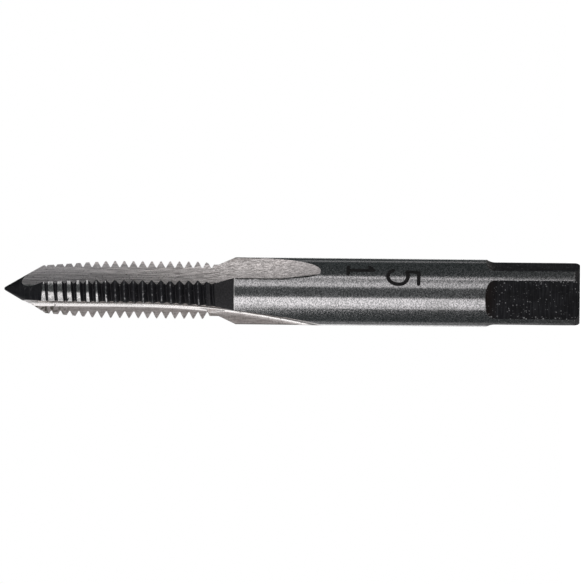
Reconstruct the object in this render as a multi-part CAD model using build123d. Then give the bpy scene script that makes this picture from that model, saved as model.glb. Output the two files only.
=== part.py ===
"""Hand tap M5 x 0.8, straight fluted, 50 mm long, ground from one piece of tool steel.

The tap stands on the end face of its driving square. The origin is the middle of that face,
+Z runs along the tap to its point, and the flats of the square face +X, +Y, -X and -Y.
All lengths are in millimetres and all angles in degrees, counter-clockwise about +Z.
"""
from build123d import *
from math import acos, ceil, cos, degrees, floor, radians, sin, tan
import os

# ---- Lengths along the tap -------------------------------------------------------------------
overall_length = 50.0
square_length = 8.2        # flats of the driving square, from the end face
thread_length = 17.5       # point, lead and full thread, from the tip
thread_runout = 0.4        # bevel from the last full crest down to the neck
neck_length = 0.76         # relief between the thread and the shoulder
lead_length = 8.0          # point and tapered lead, from the tip to the first full cutting edge

# ---- Diameters and radii ---------------------------------------------------------------------
thread_diameter = 5.0
shank_diameter = 5.85
neck_diameter = 4.52
square_across_flats = 4.75
square_runout_radius = 0.85  # fillet where each flat runs out into the round shank
end_round_radius = 0.5       # rounding of the end face's rim
point_nose_radius = 0.18

# ---- Tapers ----------------------------------------------------------------------------------
point_half_angle = 30.0    # the male centre at the tip
lead_half_angle = 4.2      # taper of the cutting lead
lead_relief = 0.095        # how far the lead falls, in radius, from each cutting edge to its heel
shoulder_half_angle = 24.0  # cone from the neck out to the shank

# ---- Thread ----------------------------------------------------------------------------------
pitch = 0.8
thread_depth = 0.54
crest_width = 0.1
flank_half_angle = 30.0
groove_phase_height = 0.554  # a groove's height, some turns down, at the first land's middle
groove_to_shoulder = 0.3     # least height of a groove's middle above the shoulder
groove_standout = 0.06       # how far what cuts a groove or the lead stands out of the crests

# ---- Flutes ----------------------------------------------------------------------------------
flute_count = 3
land_width_angle = 46.0       # each land, from cutting edge to heel
first_land_angle = -80.4      # middle of the first land
land_gap_angle = 20.0         # between what cuts one land and what cuts the next
rake_angle = 17.5             # hook of the cutting face
core_radius = 1.03            # web that the flutes leave
flute_corner_radius = 0.5     # between the cutting face and the flute's floor
floor_radius = 6.0            # hollow of the flute's floor, up to the heel
straight_flute_length = 11.1  # from the tip to where the grinding wheel starts to back out
wheel_radius = 73.0           # of the grinding wheel, at the flute's floor
wheel_standout = 1.8          # how far the wheel's section reaches out of the shank
cutter_overrun = 1.0          # how far a cutter passes the ends and sides of the tap

thread_radius = thread_diameter / 2
shank_radius = shank_diameter / 2
neck_radius = neck_diameter / 2
root_radius = thread_radius - thread_depth

land_pitch_angle = 360 / flute_count
land_cut_angle = land_pitch_angle - land_gap_angle

# Each flute's floor is an arc that touches the core and passes through the next land's heel.
# These are the distance of its centre from the tap's axis, and its direction as seen from there,
# from the cutting edge. The floor is nearest to the axis in that direction.
floor_distance = core_radius + floor_radius
floor_angle = land_pitch_angle - land_width_angle - degrees(acos(
    (floor_distance**2 + thread_radius**2 - floor_radius**2) / (2 * floor_distance * thread_radius)
))

thread_end = overall_length - thread_length
neck_top = thread_end - thread_runout
shoulder_top = neck_top - neck_length
shoulder_length = (shank_radius - neck_radius) / tan(radians(shoulder_half_angle))


def point_length(radius):
    """How far from the tip the point's cone reaches a radius."""
    apex_beyond_nose = point_nose_radius * (1 / sin(radians(point_half_angle)) - 1)
    return radius / tan(radians(point_half_angle)) - apex_beyond_nose


def turned_blank():
    """The round blank: rounded end, shank, shoulder, neck, thread cylinder and point."""
    tip = (0, overall_length)
    nose_edge = (
        point_nose_radius * cos(radians(point_half_angle)),
        overall_length - point_nose_radius * (1 - sin(radians(point_half_angle))),
    )
    with BuildSketch(Plane.XZ) as half_section:
        with BuildLine():
            Polyline(
                tip,
                (0, 0),
                (shank_radius - end_round_radius, 0),
            )
            RadiusArc(
                (shank_radius - end_round_radius, 0), (shank_radius, end_round_radius), -end_round_radius
            )
            Polyline(
                (shank_radius, end_round_radius),
                (shank_radius, shoulder_top - shoulder_length),
                (neck_radius, shoulder_top),
                (neck_radius, neck_top),
                (thread_radius, thread_end),
                (thread_radius, overall_length - point_length(thread_radius)),
                nose_edge,
            )
            RadiusArc(nose_edge, tip, -point_nose_radius)
        make_face()
    return revolve(half_section.sketch, axis=Axis.Z)


def square_cutters():
    """What clears the four flats of the square, each with a filleted run-out into the shank."""
    corner = (square_across_flats / 2, square_length)
    depth = shank_radius - square_across_flats / 2 + cutter_overrun
    with BuildSketch(Plane.XZ) as side:
        with Locations(corner):
            Rectangle(depth, square_length + cutter_overrun, align=(Align.MIN, Align.MAX))
        fillet(side.vertices().sort_by_distance(corner)[0], square_runout_radius)
    cutter = extrude(side.sketch, shank_diameter, both=True)
    return [Rot(0, 0, 90 * quarter) * cutter for quarter in range(4)]


def flute_section():
    """What the grinding wheel clears in one flute, with the cutting edge on the X axis."""
    floor_centre = Vector(floor_distance, 0).rotate(Axis.Z, floor_angle)
    above_floor = Pos(floor_centre) * Circle(floor_radius)

    # The cutting face bounds a half plane, turned by the rake about the cutting edge.
    half_plane = Rectangle(4 * shank_diameter, 4 * shank_diameter, align=(Align.CENTER, Align.MIN))
    before_face = Pos(thread_radius, 0) * Rot(0, 0, rake_angle) * half_plane

    section = Circle(shank_radius + wheel_standout) & above_floor & before_face
    corner = section.vertices().sort_by_distance((0, 0))[0]
    return fillet(corner, flute_corner_radius)


def flute_cutters():
    """What clears one flute: straight from the tip, then out along the wheel's rim.

    The wheel backs out the way that its deepest point, in the middle of the floor, lies.
    """
    start = overall_length - straight_flute_length
    section = Pos(0, 0, start) * flute_section()
    straight = extrude(section, straight_flute_length + cutter_overrun, dir=(0, 0, 1))

    wheel_distance = core_radius + wheel_radius
    exit_direction = Vector(1, 0).rotate(Axis.Z, floor_angle)
    wheel_axis = Axis(
        exit_direction * wheel_distance + Vector(0, 0, start),
        exit_direction.cross(Vector(0, 0, 1)),
    )
    exit_arc = degrees(acos(1 - shank_radius / wheel_distance))
    return [straight, revolve(section, axis=wheel_axis, revolution_arc=exit_arc)]


def lead_cutter():
    """What tapers the lead on one land, with the land's middle on the X axis.

    Its cone stands off the tap's axis, square to the land, so the land falls from its cutting
    edge to its heel and only the edge touches the hole.
    """
    offset = lead_relief / (2 * sin(radians(land_width_angle / 2)))
    slope = tan(radians(lead_half_angle))
    tip_radius = thread_radius - lead_length * slope - lead_relief / 2
    outer_radius = thread_radius + lead_relief + groove_standout
    taper_length = (outer_radius - tip_radius) / slope
    with BuildSketch(Plane.XZ) as outside:
        with BuildLine():
            Polyline(
                (tip_radius, overall_length),
                (outer_radius, overall_length),
                (outer_radius, overall_length - taper_length),
                close=True,
            )
        make_face()
    cutter = revolve(outside.sketch, axis=Axis.Z, revolution_arc=land_cut_angle)
    return Pos(0, offset, 0) * Rot(0, 0, -land_cut_angle / 2) * cutter


def groove_cutter():
    """What clears one thread groove from one land: a 60 degree trapezium on a right-hand helix.

    The land's middle is on the X axis, and there the groove is at height 0.
    """
    rise = pitch * land_cut_angle / 360
    flank_slope = tan(radians(flank_half_angle))
    crest_gap = pitch - crest_width
    root_width = crest_gap - 2 * thread_depth * flank_slope
    mouth_width = crest_gap + 2 * groove_standout * flank_slope
    mouth_radius = thread_radius + groove_standout
    with BuildSketch(Plane.XZ) as groove:
        with BuildLine():
            Polyline(
                (root_radius, -root_width / 2),
                (mouth_radius, -mouth_width / 2),
                (mouth_radius, mouth_width / 2),
                (root_radius, root_width / 2),
                close=True,
            )
        make_face()
    cutter = sweep(groove.sketch, path=Helix(pitch, rise, root_radius), is_frenet=True)
    return Pos(0, 0, -rise / 2) * Rot(0, 0, -land_cut_angle / 2) * cutter


def land_cutters(land):
    """What clears the lead and all thread grooves of one land, from the neck to the point."""
    helix_height = groove_phase_height + pitch * land / flute_count
    lowest = shoulder_top + groove_to_shoulder
    highest = overall_length - point_length(root_radius) + pitch / 2
    first_turn = ceil((lowest - helix_height) / pitch)
    last_turn = floor((highest - helix_height) / pitch)
    to_land = Rot(0, 0, first_land_angle + land * land_pitch_angle)
    groove = groove_cutter()
    grooves = [
        Pos(0, 0, helix_height + turn * pitch) * to_land * groove
        for turn in range(first_turn, last_turn + 1)
    ]
    return [to_land * lead_cutter(), *grooves]


def thread_tap():
    """The blank with its square, flutes, lead and thread cut."""
    to_cutting_edge = first_land_angle + land_width_angle / 2
    flutes = [
        Rot(0, 0, to_cutting_edge + land * land_pitch_angle) * cutter
        for land in range(flute_count)
        for cutter in flute_cutters()
    ]
    lands = [cutter for land in range(flute_count) for cutter in land_cutters(land)]
    return turned_blank() - square_cutters() - flutes - lands


os.makedirs("parts", exist_ok=True)
export_step(thread_tap(), "parts/thread_tap.step")
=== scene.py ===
from math import atan2, cos, degrees, hypot, pi, radians, sin, tan

import bpy
from mathutils import Matrix, Vector


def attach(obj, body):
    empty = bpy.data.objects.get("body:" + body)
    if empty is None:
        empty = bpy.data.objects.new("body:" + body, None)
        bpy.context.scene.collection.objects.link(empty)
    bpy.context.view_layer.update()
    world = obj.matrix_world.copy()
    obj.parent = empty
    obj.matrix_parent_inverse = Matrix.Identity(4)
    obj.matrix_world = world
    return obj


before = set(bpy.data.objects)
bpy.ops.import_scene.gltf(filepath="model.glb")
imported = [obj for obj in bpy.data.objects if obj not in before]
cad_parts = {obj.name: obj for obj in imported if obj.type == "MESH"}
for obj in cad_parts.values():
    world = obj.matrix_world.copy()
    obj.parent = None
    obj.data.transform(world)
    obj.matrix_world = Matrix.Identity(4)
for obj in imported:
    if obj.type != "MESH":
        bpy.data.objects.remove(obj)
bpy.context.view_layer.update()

scene = bpy.context.scene
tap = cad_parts["thread_tap"]
MM = 0.001

# ---- Sizes of the tap, in millimetres, as the frame has them ---------------------------------
SHANK_RADIUS = 2.925
NECK_RADIUS = 2.26
ROOT_RADIUS = 1.96
END_ROUND_TOP = 1.0         # above the rounding of the end face's rim
SQUARE_TOP = 9.05           # top of the square's run-outs
SHOULDER_BOTTOM = 29.846
SHOULDER_TOP = 31.34
NECK_TOP = 32.1
SHOULDER_HALF_ANGLE = 24.0
STRAIGHT_FLUTE_BOTTOM = 38.9
NOSE_BOTTOM = 49.6
WHEEL_REACH = 74.03         # from the wheel's axis to the tap's, along the straight flute
CORNER_SHADE_RADIUS = 1.2   # up to where painted shade lies on a straight flute's corner

# ---- Angles about the tap's axis, in degrees -------------------------------------------------
FIRST_CUTTING_EDGE = -57.4  # from +X
LAND_PITCH = 120.0
# How far a face is turned from a cutting edge: past the first it is on the flute's corner, and
# past the second on the cutting face. The wheel leaves less of a corner in the run-out.
FLOOR_TURN = 26.0
FACE_TURN = 88.0
RUNOUT_FACE_TURN = 78.0

# ---- Camera ----------------------------------------------------------------------------------
IMAGE_SIZE = 584
PIXELS_PER_MM = 11.535
CAMERA_AZIMUTH = 13.0      # from -Y towards +X
CAMERA_DISTANCE = 0.5
CAMERA_HEIGHT = 1.5 * MM
TARGET_HEIGHT = 24.95 * MM
AXIS_ABOVE_MIDDLE = 0.05 * MM
ROLL = 0.58
SENSOR = 36.0

# The tap stands upright and the camera is turned on its side, so that the point is on the left.
# Directions round the tap: to_camera, and picture_up, which is level too.
to_camera = Vector((sin(radians(CAMERA_AZIMUTH)), -cos(radians(CAMERA_AZIMUTH)), 0))
picture_up = Vector((0, 0, 1)).cross(to_camera)


def round_the_tap(angle):
    """The level direction at an angle from the camera, towards the top of the picture."""
    return to_camera * cos(radians(angle)) + picture_up * sin(radians(angle))


def make_camera():
    target = Vector((0, 0, TARGET_HEIGHT)) - picture_up * AXIS_ABOVE_MIDDLE
    place = target + to_camera * CAMERA_DISTANCE
    place.z = CAMERA_HEIGHT
    back = (place - target).normalized()
    down = Vector((0, 0, -1))
    right = (down - back * down.dot(back)).normalized()
    right = Matrix.Rotation(radians(ROLL), 3, back) @ right
    up = back.cross(right)
    data = bpy.data.cameras.new("camera")
    data.sensor_width = SENSOR
    data.lens = SENSOR * CAMERA_DISTANCE / (IMAGE_SIZE / PIXELS_PER_MM * MM)
    data.clip_start = 0.01
    data.clip_end = 20
    camera = bpy.data.objects.new("camera", data)
    camera.matrix_world = Matrix((
        (right.x, up.x, back.x, place.x),
        (right.y, up.y, back.y, place.y),
        (right.z, up.z, back.z, place.z),
        (0, 0, 0, 1),
    ))
    scene.collection.objects.link(camera)
    scene.camera = camera


# ---- Node trees ------------------------------------------------------------------------------
class Nodes:
    """Adds nodes to a tree. Each call returns the output that the next one takes."""

    def __init__(self, tree):
        self.tree = tree

    def add(self, kind, **settings):
        node = self.tree.nodes.new(kind)
        for name, value in settings.items():
            setattr(node, name, value)
        return node

    def feed(self, socket, value):
        if isinstance(value, bpy.types.NodeSocket):
            self.tree.links.new(value, socket)
        else:
            socket.default_value = value

    def math(self, operation, *values, clamp=False):
        node = self.add("ShaderNodeMath", operation=operation, use_clamp=clamp)
        for socket, value in zip(node.inputs, values):
            self.feed(socket, value)
        return node.outputs[0]

    def vector(self, operation, *values):
        node = self.add("ShaderNodeVectorMath", operation=operation)
        for socket, value in zip(node.inputs, values):
            self.feed(socket, value)
        return node.outputs["Value"] if operation == "DOT_PRODUCT" else node.outputs["Vector"]

    def smooth(self, value, low, high, to_low=0.0, to_high=1.0):
        """Goes smoothly from to_low to to_high as value goes from low to high."""
        node = self.add("ShaderNodeMapRange", interpolation_type="SMOOTHSTEP")
        for socket, number in zip(node.inputs, (value, low, high, to_low, to_high)):
            self.feed(socket, number)
        return node.outputs[0]

    def mix(self, factor, first, second):
        """Blends two colours, each another node's output or three numbers."""
        node = self.add("ShaderNodeMix", data_type="RGBA")
        self.feed(node.inputs["Factor"], factor)
        for socket, colour in ((node.inputs[6], first), (node.inputs[7], second)):
            self.feed(socket, (*colour, 1) if isinstance(colour, tuple) else colour)
        return node.outputs[2]

    def over(self, first, second, value, low, high, strength=1.0):
        """Lays a second colour over the first, more and more as value goes from low to high."""
        return self.mix(self.smooth(value, low, high, 0.0, strength), first, second)


class Metal(Nodes):
    """A procedural material. Patterns are read in millimetres, in the tap's own frame."""

    def __init__(self, name):
        self.material = bpy.data.materials.new(name)
        self.material.use_nodes = True
        super().__init__(self.material.node_tree)
        self.shader = self.tree.nodes["Principled BSDF"]
        place = self.add("ShaderNodeTexCoord").outputs["Object"]
        self.place = self.vector("MULTIPLY", place, (1000, 1000, 1000))
        axes = self.add("ShaderNodeSeparateXYZ")
        self.feed(axes.inputs[0], self.place)
        self.x, self.y, self.height = axes.outputs

    def radius(self):
        """Distance from the tap's axis."""
        level = self.vector("MULTIPLY", self.place, (1, 1, 0))
        return self.math("SQRT", self.vector("DOT_PRODUCT", level, level))

    def turn(self):
        """Angle about the tap's axis from the last cutting edge, in degrees."""
        angle = self.math("DEGREES", self.math("ARCTAN2", self.y, self.x))
        angle = self.math("SUBTRACT", angle, FIRST_CUTTING_EDGE)
        return self.math("FLOORED_MODULO", angle, LAND_PITCH)

    def noise(self, grain, detail=2.0, roughness=0.5, seed=0.0):
        """Noise with grains of about these sizes along X, Y and Z, in millimetres."""
        scaled = self.vector("MULTIPLY", self.place, [1 / size for size in grain])
        moved = self.vector("ADD", scaled, (seed, seed, seed))
        node = self.add("ShaderNodeTexNoise", noise_dimensions="3D")
        self.feed(node.inputs["Vector"], moved)
        self.feed(node.inputs["Scale"], 1.0)
        self.feed(node.inputs["Detail"], detail)
        self.feed(node.inputs["Roughness"], roughness)
        return node.outputs[0]

    def specks(self, spacing, size, share, seed=0.0):
        """1 in small round specks, one in each cell of this spacing, of which a share are kept."""
        scaled = self.vector("SCALE", self.place)
        scaled.node.inputs["Scale"].default_value = 1 / spacing
        moved = self.vector("ADD", scaled, (seed, seed, seed))
        cells = self.add("ShaderNodeTexVoronoi", feature="F1")
        self.feed(cells.inputs["Vector"], moved)
        self.feed(cells.inputs["Scale"], 1.0)
        channels = self.add("ShaderNodeSeparateColor")
        self.feed(channels.inputs[0], cells.outputs["Color"])
        reach = self.math("MULTIPLY", channels.outputs[1], size / spacing)
        inside = self.smooth(cells.outputs["Distance"], reach, 0.0)
        kept = self.math("LESS_THAN", channels.outputs[0], share)
        return self.math("MULTIPLY", inside, kept)

    def bumps(self, *layers):
        """Adds bumps, each a height from 0 to 1 and its real size in millimetres."""
        normal = None
        for height, size in layers:
            node = self.add("ShaderNodeBump")
            self.feed(node.inputs["Height"], height)
            node.inputs["Strength"].default_value = 1.0
            node.inputs["Distance"].default_value = size * MM
            if normal:
                self.feed(node.inputs["Normal"], normal)
            normal = node.outputs[0]
        self.feed(self.shader.inputs["Normal"], normal)

    def finish(self, colour, roughness, metallic, specular=0.5):
        self.feed(self.shader.inputs["Base Color"], colour)
        self.feed(self.shader.inputs["Roughness"], roughness)
        self.feed(self.shader.inputs["Metallic"], metallic)
        self.shader.inputs["Specular IOR Level"].default_value = specular
        return self.material


def runout_painted_shade(metal):
    """1 in the thin ragged line of painted shade on the shank, along each run-out's cutting edge,
    where the flute's corner lies in shadow.
    """
    ragged = metal.noise((0.25, 0.25, 0.25), detail=3, seed=19)
    turn = metal.math("ADD", metal.turn(), metal.smooth(ragged, 0.3, 0.7, -0.6, 0.8))
    beside_edge = metal.math("MULTIPLY", metal.smooth(turn, 0.5, 0.9), metal.smooth(turn, 5.0, 4.5))
    return metal.math("MULTIPLY", beside_edge, metal.smooth(metal.height, 24.4, 25.6, 0, 0.9))


def ground_shank():
    """Bright steel, centreless ground: a sparkling satin grain with faint rings and stains, painted
    shade along the run-outs' cutting edges and a painted highlight ring by the shoulder.
    """
    metal = Metal("ground_shank")
    grain = metal.noise((0.14, 0.14, 0.12), detail=3, roughness=0.8)
    fine = metal.noise((0.1, 0.1, 0.09), detail=1, seed=11)
    rings = metal.noise((2.0, 2.0, 0.06), detail=2, seed=7)
    stains = metal.noise((1.4, 1.4, 2.2), detail=3, seed=3)
    pits = metal.specks(0.5, 0.11, 0.12, seed=5)
    # Painted highlight: a thin light ring round the shank just below the shoulder, where the steel
    # is also rougher.
    edge = metal.smooth(metal.height, SHOULDER_BOTTOM - 0.07, SHOULDER_BOTTOM - 0.04)
    colour = metal.over((0.30, 0.305, 0.305), (0.90, 0.88, 0.89), grain, 0.36, 0.64)
    colour = metal.over(colour, (0.36, 0.36, 0.35), stains, 0.52, 0.75, 0.3)
    colour = metal.mix(pits, colour, (0.05, 0.05, 0.05))
    # Painted shade along each run-out's cutting edge, where the flute's corner is in shadow.
    colour = metal.mix(runout_painted_shade(metal), colour, (0.03, 0.03, 0.03))
    # Lays the painted highlight ring over the colour.
    colour = metal.mix(edge, colour, (0.95, 0.94, 0.93))
    metal.bumps((fine, 0.0014), (rings, 0.0004))
    satin = metal.smooth(grain, 0.25, 0.75, 0.15, 0.21)
    roughness = metal.math("MAXIMUM", satin, metal.math("MULTIPLY", edge, 0.4))
    return metal.finish(colour, roughness, 1.0)


def ground_flute():
    """Bright steel, ground along the flutes: long fine scratches, pits and dirt at the edges."""
    metal = Metal("ground_flute")
    scratches = metal.noise((0.08, 0.08, 2.6), detail=3, roughness=0.8)
    broad = metal.noise((0.3, 0.3, 5.0), detail=2, seed=5)
    grain = metal.noise((0.12, 0.12, 0.12), detail=2, roughness=0.7, seed=2)
    pits = metal.specks(0.6, 0.12, 0.11, seed=4)
    dirt = metal.math(
        "MULTIPLY",
        metal.smooth(metal.noise((0.16, 0.16, 0.2), detail=3, seed=12), 0.56, 0.62),
        metal.smooth(metal.radius(), 2.2, 2.45, 0, 0.85),
    )
    dirt = metal.math("MULTIPLY", dirt, metal.smooth(metal.height, 31.5, 33))
    lines = metal.noise((0.045, 0.045, 3.2), detail=1, seed=14)
    colour = metal.over((0.29, 0.27, 0.262), (0.93, 0.88, 0.86), scratches, 0.38, 0.62)
    colour = metal.over(colour, (0.33, 0.33, 0.35), metal.height, 33, 47, 0.55)
    colour = metal.over(colour, (0.40, 0.37, 0.37), metal.height, 27, 22, 0.45)
    colour = metal.over(colour, (0.42, 0.41, 0.40), broad, 0.4, 0.7, 0.4)
    colour = metal.over(colour, (0.14, 0.13, 0.13), lines, 0.62, 0.72, 0.6)
    colour = metal.over(colour, (0.95, 0.93, 0.92), lines, 0.36, 0.26, 0.6)
    colour = metal.over(colour, (0.34, 0.32, 0.30), grain, 0.55, 0.75, 0.35)
    colour = metal.mix(pits, colour, (0.03, 0.028, 0.025))
    colour = metal.mix(dirt, colour, (0.05, 0.045, 0.035))
    metal.bumps((scratches, 0.005), (grain, 0.001))
    return metal.finish(colour, metal.smooth(grain, 0.3, 0.7, 0.26, 0.38), 1.0)


def cutting_face():
    """Bright steel on the cutting faces: finer scratches, nicks and oily dirt by the point."""
    metal = Metal("cutting_face")
    scratches = metal.noise((0.06, 0.06, 1.6), detail=3, roughness=0.7, seed=21)
    grain = metal.noise((0.14, 0.14, 0.14), detail=3, roughness=0.7, seed=22)
    pits = metal.specks(0.5, 0.13, 0.14, seed=23)
    dirt = metal.math(
        "MULTIPLY",
        metal.smooth(metal.noise((0.25, 0.25, 0.3), detail=3, seed=24), 0.46, 0.6),
        metal.smooth(metal.height, 43.5, 46.5, 0, 0.9),
    )
    colour = metal.over((0.70, 0.64, 0.62), (1.0, 0.955, 0.93), scratches, 0.36, 0.64)
    colour = metal.over(colour, (0.38, 0.35, 0.335), grain, 0.5, 0.65, 0.5)
    colour = metal.mix(pits, colour, (0.04, 0.035, 0.03))
    colour = metal.mix(dirt, colour, (0.11, 0.10, 0.07))
    colour = metal.over(colour, (0.05, 0.045, 0.04), metal.radius(), 2.84, 2.89, 0.8)
    metal.bumps((scratches, 0.003), (grain, 0.002))
    return metal.finish(colour, metal.smooth(grain, 0.3, 0.7, 0.5, 0.6), 1.0)


def corner_painted_shade(metal):
    """1 in the painted shade on the floor's side of a flute's corner, which rises with the wheel.
    """
    below = metal.math("MAXIMUM", metal.math("SUBTRACT", STRAIGHT_FLUTE_BOTTOM, metal.height), 0.0)
    rise = metal.math("DIVIDE", metal.math("MULTIPLY", below, below), 2 * WHEEL_REACH)
    radius = metal.math("SUBTRACT", metal.radius(), rise)
    return metal.math(
        "MULTIPLY",
        metal.smooth(radius, CORNER_SHADE_RADIUS + 0.06, CORNER_SHADE_RADIUS, 0, 0.85),
        metal.smooth(metal.height, 46.5, 45.5),
    )


def flute_corner():
    """Bright steel in the rounded corner of a flute, burnished by the rim of the wheel, coloured
    lighter than the flute's steel as a painted highlight, with painted shade on its inner part.
    """
    metal = Metal("flute_corner")
    scratches = metal.noise((0.07, 0.07, 2.2), detail=3, roughness=0.7)
    nicks = metal.specks(0.3, 0.2, 0.3, seed=31)
    # Painted highlight: the corner's steel is coloured far lighter than the flute's, for the white
    # strip along it.
    colour = metal.over((0.86, 0.84, 0.82), (1.0, 0.98, 0.96), scratches, 0.36, 0.64)
    colour = metal.mix(nicks, colour, (0.06, 0.05, 0.045))
    # Painted shade on the inner part of the corner.
    colour = metal.mix(corner_painted_shade(metal), colour, (0.03, 0.03, 0.03))
    colour = metal.over(colour, (0.05, 0.045, 0.04), metal.radius(), 2.86, 2.90, 0.8)
    metal.bumps((scratches, 0.002))
    return metal.finish(colour, metal.smooth(scratches, 0.3, 0.7, 0.2, 0.28), 1.0)


def ground_lead():
    """Bright steel where the lead is ground, with the grain and nicks of the edges."""
    metal = Metal("ground_lead")
    grain = metal.noise((0.13, 0.13, 0.13), detail=3, roughness=0.8, seed=1)
    colour = metal.over((0.36, 0.36, 0.36), (0.84, 0.83, 0.82), grain, 0.36, 0.64)
    metal.bumps((grain, 0.001))
    return metal.finish(colour, metal.smooth(grain, 0.25, 0.75, 0.13, 0.19), 1.0)


def worn_crest():
    """Dark skin on the full thread's crests, worn to steel here and there."""
    metal = Metal("worn_crest")
    wear = metal.noise((0.3, 0.3, 0.3), detail=3, roughness=0.7, seed=13)
    worn = metal.smooth(wear, 0.5, 0.66, 0.0, 0.75)
    colour = metal.mix(worn, (0.03, 0.031, 0.036), (0.55, 0.55, 0.55))
    metal.bumps((wear, 0.002))
    return metal.finish(colour, 0.34, worn, specular=0.3)


def black_turned():
    """Dark heat-treated skin over turning marks: point, neck, shoulder and end face."""
    metal = Metal("black_turned")
    rings = metal.noise((3.0, 3.0, 0.09), detail=2, roughness=0.6)
    grain = metal.noise((0.12, 0.12, 0.12), detail=2, roughness=0.6, seed=6)
    scratches = metal.noise((0.05, 1.5, 0.9), detail=1, seed=15)
    colour = metal.over((0.033, 0.032, 0.034), (0.060, 0.058, 0.061), grain, 0.35, 0.7)
    colour = metal.over(colour, (0.004, 0.005, 0.008), metal.height, 36, 44, 0.85)
    colour = metal.over(colour, (0.06, 0.06, 0.064), rings, 0.5, 0.75, 0.4)
    colour = metal.over(colour, (0.12, 0.12, 0.12), scratches, 0.72, 0.76, 0.4)
    metal.bumps((rings, 0.002), (grain, 0.001))
    return metal.finish(colour, metal.smooth(rings, 0.3, 0.7, 0.38, 0.5), 0.0, specular=0.17)


def black_thread():
    """The same dark skin in the thread grooves, with light worn specks."""
    metal = Metal("black_thread")
    grain = metal.noise((0.14, 0.14, 0.14), detail=3, roughness=0.7, seed=8)
    specks = metal.specks(0.2, 0.1, 0.22, seed=2)
    colour = metal.over((0.014, 0.0145, 0.018), (0.05, 0.049, 0.053), grain, 0.35, 0.7)
    colour = metal.mix(specks, colour, (0.5, 0.5, 0.5))
    metal.bumps((grain, 0.004))
    return metal.finish(colour, metal.smooth(grain, 0.3, 0.7, 0.35, 0.55), specks, specular=0.3)


def black_milled():
    """The same dark skin on the milled flats: marks across each flat and light specks."""
    metal = Metal("black_milled")
    marks = metal.noise((2.5, 2.5, 0.08), detail=2, roughness=0.7, seed=9)
    patches = metal.noise((0.9, 0.9, 1.6), detail=2, seed=17)
    grain = metal.noise((0.12, 0.12, 0.12), detail=2, roughness=0.6, seed=3)
    few = metal.specks(0.27, 0.12, 0.6, seed=6)
    many = metal.math(
        "MULTIPLY",
        metal.specks(0.14, 0.07, 0.4, seed=16),
        metal.smooth(patches, 0.42, 0.58, 0.15, 0.9),
    )
    rim = metal.math(
        "MULTIPLY",
        metal.smooth(metal.radius(), SHANK_RADIUS - 0.13, SHANK_RADIUS - 0.07),
        metal.specks(0.17, 0.13, 0.8, seed=18),
    )
    specks = metal.math("MAXIMUM", metal.math("MAXIMUM", few, many), rim)
    colour = metal.over((0.013, 0.013, 0.0155), (0.045, 0.046, 0.050), marks, 0.4, 0.7)
    colour = metal.over(colour, (0.008, 0.008, 0.009), patches, 0.6, 0.4, 0.5)
    colour = metal.over(colour, (0.026, 0.016, 0.011), metal.height, 6.9, 8.4, 0.7)
    colour = metal.mix(specks, colour, (0.62, 0.62, 0.63))
    metal.bumps((marks, 0.004), (grain, 0.0015))
    return metal.finish(colour, metal.smooth(grain, 0.3, 0.7, 0.5, 0.7), specks, specular=0.12)


def engraving():
    """Dark scale left in the engraved numbers."""
    metal = Metal("engraving")
    grain = metal.noise((0.08, 0.08, 0.08), detail=2, roughness=0.7, seed=41)
    colour = metal.over((0.008, 0.008, 0.009), (0.045, 0.043, 0.042), grain, 0.4, 0.7)
    metal.bumps((grain, 0.003))
    return metal.finish(colour, metal.smooth(grain, 0.3, 0.7, 0.55, 0.75), 0.0, specular=0.2)


NEAR = 0.02  # how near a face lies to the surface that it belongs to, in millimetres

# How far a face's normal of length 1 points away from the axis, at least, on a turned surface.
TURNED = 0.98

# How far it points along the axis: at most where the face is upright, at least on the lead's
# taper, the rounded rim and any slope, and from least to most on the point's cone.
UPRIGHT = 0.02
LEAD_TAPER = 0.03
ROUNDED_RIM = 0.1
SLOPING = 0.35
POINT_CONE = (0.4, 0.6)


def finish_of_square(z, along):
    if z < NEAR or z < END_ROUND_TOP and along < -ROUNDED_RIM:
        return "black_turned"
    if z > END_ROUND_TOP or abs(along) < UPRIGHT:
        return "black_milled"
    return "ground_shank"


def finish_of_flute(z, normal):
    turn = (degrees(atan2(normal.y, normal.x)) - FIRST_CUTTING_EDGE) % LAND_PITCH
    if turn > (FACE_TURN if z > NECK_TOP else RUNOUT_FACE_TURN):
        return "cutting_face"
    return "flute_corner" if turn > FLOOR_TURN else "ground_flute"


def finish_of(face):
    """Which of the tap's finishes a face has, from where it lies and which way it faces."""
    x, y, z = face.center / MM
    radius = hypot(x, y)
    outward = (x * face.normal.x + y * face.normal.y) / radius
    along = face.normal.z
    if outward > TURNED and abs(along) < UPRIGHT and radius > SHANK_RADIUS - NEAR:
        return "ground_shank"
    if z < SQUARE_TOP:
        return finish_of_square(z, along)
    shoulder_radius = SHANK_RADIUS - (z - SHOULDER_BOTTOM) * tan(radians(SHOULDER_HALF_ANGLE))
    if z < SHOULDER_TOP and abs(radius - shoulder_radius) < NEAR and along > SLOPING:
        return "black_turned"
    if SHOULDER_TOP - NEAR < z < NECK_TOP and abs(radius - NECK_RADIUS) < NEAR and outward > TURNED:
        return "black_turned"
    if z > SHOULDER_TOP:
        if abs(along) > SLOPING and (z > NOSE_BOTTOM or POINT_CONE[0] < along < POINT_CONE[1]):
            return "black_turned"
        if abs(along) > SLOPING or abs(radius - ROOT_RADIUS) < NEAR and outward > TURNED:
            return "black_thread"
        if outward > TURNED and radius > ROOT_RADIUS:
            return "ground_lead" if along > LEAD_TAPER else "worn_crest"
    return finish_of_flute(z, face.normal)


def paint_tap():
    """Gives each face of the tap its finish."""
    makers = (
        ground_shank, ground_flute, flute_corner, cutting_face, ground_lead,
        worn_crest, black_turned, black_thread, black_milled,
    )
    slots = {}
    tap.data.materials.clear()
    for index, maker in enumerate(makers):
        tap.data.materials.append(maker())
        slots[maker.__name__] = index
    for face in tap.data.polygons:
        face.material_index = slots[finish_of(face)]


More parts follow.
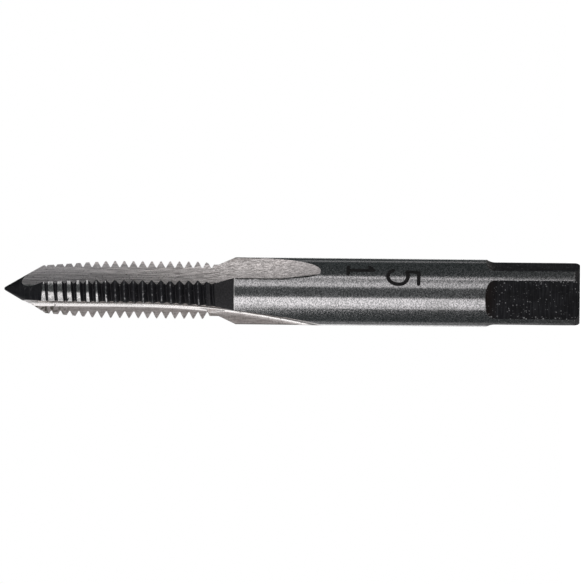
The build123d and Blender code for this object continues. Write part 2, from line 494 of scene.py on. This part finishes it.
# ---- Numbers on the shank --------------------------------------------------------------------
# Strokes in millimetres from each number's middle, to the right and up as it is read. The numbers
# stand with their tops towards the square.
FIVE = [
    [(0.66, 1.36), (-0.46, 1.36)],
    [(-0.46, 1.36), (-0.56, 0.22), (-0.30, 0.42), (0.08, 0.44), (0.42, 0.30), (0.66, -0.02),
     (0.70, -0.46), (0.58, -0.90), (0.28, -1.24), (-0.14, -1.32), (-0.50, -1.14), (-0.66, -0.84)],
]
ONE = [
    [(0.0, -1.1), (0.0, 1.1)],
    [(0.0, 1.1), (-0.42, 0.72)],
    [(-0.4, -1.1), (0.4, -1.1)],
]
STROKE_WIDTH = 0.32
STROKE_STEP = 0.12
STROKE_STANDOUT = 0.006
STROKE_DEPTH = 0.03
STROKE_ENDS = [radians(80), radians(55), radians(28)]  # steps of the round at a stroke's ends
CURVE_POINTS = 5  # a stroke with this many points or more is a curve


def rounded(points):
    """Cuts the corners of a line twice, keeping its ends."""
    for _ in range(2):
        cut = [points[0]]
        for first, second in zip(points, points[1:]):
            cut += [first.lerp(second, 0.25), first.lerp(second, 0.75)]
        points = cut + [points[-1]]
    return points


def stepped(points):
    """Puts points along a line, so that it can follow the round of the shank."""
    line = [points[0]]
    for first, second in zip(points, points[1:]):
        count = max(1, round((second - first).length / STROKE_STEP))
        line += [first.lerp(second, (i + 1) / count) for i in range(count)]
    return line


def stroke_stations(points):
    """Points along a stroke, each with its direction and half width. The ends are round."""
    steps = [second - first for first, second in zip(points, points[1:])]
    around = zip([steps[0], *steps], [*steps, steps[-1]])
    directions = [
        (before.normalized() + after.normalized()).normalized() for before, after in around
    ]
    half = STROKE_WIDTH / 2
    ahead = directions[0]
    start = [(points[0] - ahead * half * sin(a), ahead, half * cos(a)) for a in STROKE_ENDS]
    middle = [(point, direction, half) for point, direction in zip(points, directions)]
    ahead = directions[-1]
    end = [(points[-1] + ahead * half * sin(a), ahead, half * cos(a)) for a in STROKE_ENDS]
    return start + middle + end[::-1]


def on_shank(place, standout, angle, height):
    """Where a point of a number is, from its place in the number and how far it stands out."""
    turned = round_the_tap(angle - degrees(place.x / SHANK_RADIUS))
    return (turned * (SHANK_RADIUS + standout) + Vector((0, 0, height - place.y))) * MM


def make_number(name, strokes, angle, height, material):
    """A number that hugs the shank, at an angle from the camera and a height in millimetres."""
    rows = []
    faces = []
    for stroke in strokes:
        points = [Vector(point) for point in stroke]
        if len(points) >= CURVE_POINTS:
            points = rounded(points)
        base = len(rows)
        for point, direction, half in stroke_stations(stepped(points)):
            side = Vector((-direction.y, direction.x)) * half
            section = (
                (point + side, STROKE_STANDOUT),
                (point - side, STROKE_STANDOUT),
                (point - side, -STROKE_DEPTH),
                (point + side, -STROKE_DEPTH),
            )
            rows += [on_shank(place, standout, angle, height) for place, standout in section]
        last = len(rows) - 4
        for first in range(base, last, 4):
            for a, b in ((0, 1), (1, 2), (2, 3), (3, 0)):
                faces.append((first + a, first + b, first + 4 + b, first + 4 + a))
        faces += [(base + 3, base + 2, base + 1, base), (last, last + 1, last + 2, last + 3)]
    mesh = bpy.data.meshes.new(name)
    mesh.from_pydata(rows, [], faces)
    mesh.materials.append(material)
    number = bpy.data.objects.new(name, mesh)
    scene.collection.objects.link(number)
    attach(number, "root")


def make_numbers():
    material = engraving()
    make_number("number_five", FIVE, 27.5, 15.26, material)
    make_number("number_one", ONE, 40.0, 18.9, material)


# ---- Studio ----------------------------------------------------------------------------------
LAMP_DISTANCE = 0.35
LAMP_COLOUR = (1.0, 0.975, 0.985)
OVERHEAD_SIZE = 0.5
OVERHEAD_HEIGHT = 0.7
BACKDROP_MIDDLE = -172.0   # the bright backdrop behind the tap, as an angle from the camera,
BACKDROP_ANGLE = 22.0      # and half its width
AMBIENT = (0.044, 0.051, 0.052)
FLOOR_SIZE = 4.0
FLOOR_COLOUR = (0.82, 0.82, 0.82)
FLOOR_MASKED = (0.12, 0.12, 0.12)  # the same, where the metal mirrors it at a low angle
FLOOR_IN_METAL = 0.35      # glow of the floor where the metal mirrors it from above

# Angle from the camera round the tap, width as an angle, lowest and highest point in metres, and
# brightness, where 1 is white.
SOFTBOXES = {
    "front": (-2.0, 34.0, 0.002, 0.35, 0.045),
    "upper": (24.5, 16.0, 0.002, 0.35, 0.70),
    "upper_dim": (39.0, 14.0, 0.002, 0.35, 0.34),
    "upper_edge": (50.5, 6.0, 0.002, 0.35, 0.9),
    "upper_raised": (66.0, 44.0, 0.11, 0.30, 0.85),
    "lower": (-34.5, 29.0, 0.002, 0.35, 1.05),
    "lower_dim": (-54.5, 10.0, 0.002, 0.35, 0.7),
    "lower_raised": (-105.0, 88.0, 0.09, 0.30, 1.2),
    "lower_thread": (-67.0, 22.0, 0.068, 0.09, 1.4),
    "behind_upper": (132.0, 7.0, 0.002, 0.35, 0.28),
    "behind_lower": (-136.0, 32.0, 0.002, 0.35, 0.17),
}


def add_lamp(name, place, facing, width, height, brightness):
    data = bpy.data.lights.new(name, "AREA")
    data.shape = "RECTANGLE"
    data.size = width
    data.size_y = height
    data.energy = brightness * pi * width * height
    data.color = LAMP_COLOUR
    lamp = bpy.data.objects.new(name, data)
    lamp.location = place
    lamp.rotation_euler = facing.to_track_quat("Z", "Y").to_euler()
    lamp.visible_camera = False
    scene.collection.objects.link(lamp)


def make_lamps():
    for name, (angle, width_angle, bottom, top, brightness) in SOFTBOXES.items():
        facing = round_the_tap(angle)
        place = facing * LAMP_DISTANCE + Vector((0, 0, (bottom + top) / 2))
        width = 2 * LAMP_DISTANCE * tan(radians(width_angle / 2))
        add_lamp(name, place, facing, width, top - bottom, brightness)
    up = Vector((0, 0, 1))
    add_lamp("overhead", up * OVERHEAD_HEIGHT, up, OVERHEAD_SIZE, OVERHEAD_SIZE, 1.0)


def make_world():
    """White to the camera, and to the metal where it mirrors what is behind the tap."""
    world = bpy.data.worlds.new("studio")
    world.use_nodes = True
    scene.world = world
    nodes = Nodes(world.node_tree)
    background = world.node_tree.nodes["Background"]
    rays = nodes.add("ShaderNodeLightPath").outputs
    direction = nodes.add("ShaderNodeTexCoord").outputs["Generated"]
    behind = nodes.vector("DOT_PRODUCT", direction, round_the_tap(BACKDROP_MIDDLE))
    edge = cos(radians(BACKDROP_ANGLE))
    backdrop = nodes.smooth(behind, edge - 0.02, edge + 0.01)
    mirrored = nodes.math("MAXIMUM", rays["Is Glossy Ray"], rays["Is Transmission Ray"])
    mirrored = nodes.math("MULTIPLY", mirrored, backdrop)
    shown = nodes.math("MAXIMUM", rays["Is Camera Ray"], mirrored)
    nodes.feed(background.inputs["Color"], nodes.mix(shown, AMBIENT, (1, 1, 1)))


def pale_floor():
    """White to the camera and, where the metal mirrors it, behind the tap and from above.

    It glows a little less near the tap.
    """
    material = bpy.data.materials.new("pale_floor")
    material.use_nodes = True
    nodes = Nodes(material.node_tree)
    shader = material.node_tree.nodes["Principled BSDF"]
    shader.inputs["Roughness"].default_value = 0.9
    shader.inputs["Specular IOR Level"].default_value = 0.0
    shader.inputs["Emission Color"].default_value = (1, 1, 1, 1)
    rays = nodes.add("ShaderNodeLightPath").outputs
    place = nodes.add("ShaderNodeTexCoord").outputs["Object"]
    distance = nodes.math("SQRT", nodes.vector("DOT_PRODUCT", place, place))
    glow = nodes.smooth(distance, 0.05, 0.5, 0.8, 1.0)
    behind = nodes.vector("DOT_PRODUCT", place, round_the_tap(BACKDROP_MIDDLE))
    behind = nodes.math("DIVIDE", behind, distance)
    backdrop = nodes.math("GREATER_THAN", behind, cos(radians(BACKDROP_ANGLE)))
    grazing = nodes.add("ShaderNodeLayerWeight").outputs["Facing"]
    steep = nodes.smooth(grazing, 0.92, 0.82, 0.0, FLOOR_IN_METAL)
    mirrored = nodes.math("MAXIMUM", rays["Is Glossy Ray"], rays["Is Transmission Ray"])
    mirrored = nodes.math("MULTIPLY", mirrored, nodes.math("MAXIMUM", backdrop, steep))
    shown = nodes.math("MAXIMUM", rays["Is Camera Ray"], mirrored)
    nodes.feed(shader.inputs["Emission Strength"], nodes.math("MULTIPLY", shown, glow))
    masked = nodes.math("SUBTRACT", rays["Is Glossy Ray"], mirrored, clamp=True)
    nodes.feed(shader.inputs["Base Color"], nodes.mix(masked, FLOOR_COLOUR, FLOOR_MASKED))
    return material


def make_floor():
    half = FLOOR_SIZE / 2
    mesh = bpy.data.meshes.new("floor")
    corners = [(-half, -half, 0), (half, -half, 0), (half, half, 0), (-half, half, 0)]
    mesh.from_pydata(corners, [], [(0, 1, 2, 3)])
    mesh.materials.append(pale_floor())
    floor = bpy.data.objects.new("floor", mesh)
    scene.collection.objects.link(floor)


scene.view_settings.view_transform = "Standard"
make_camera()
paint_tap()
make_numbers()
make_lamps()
make_world()
make_floor()
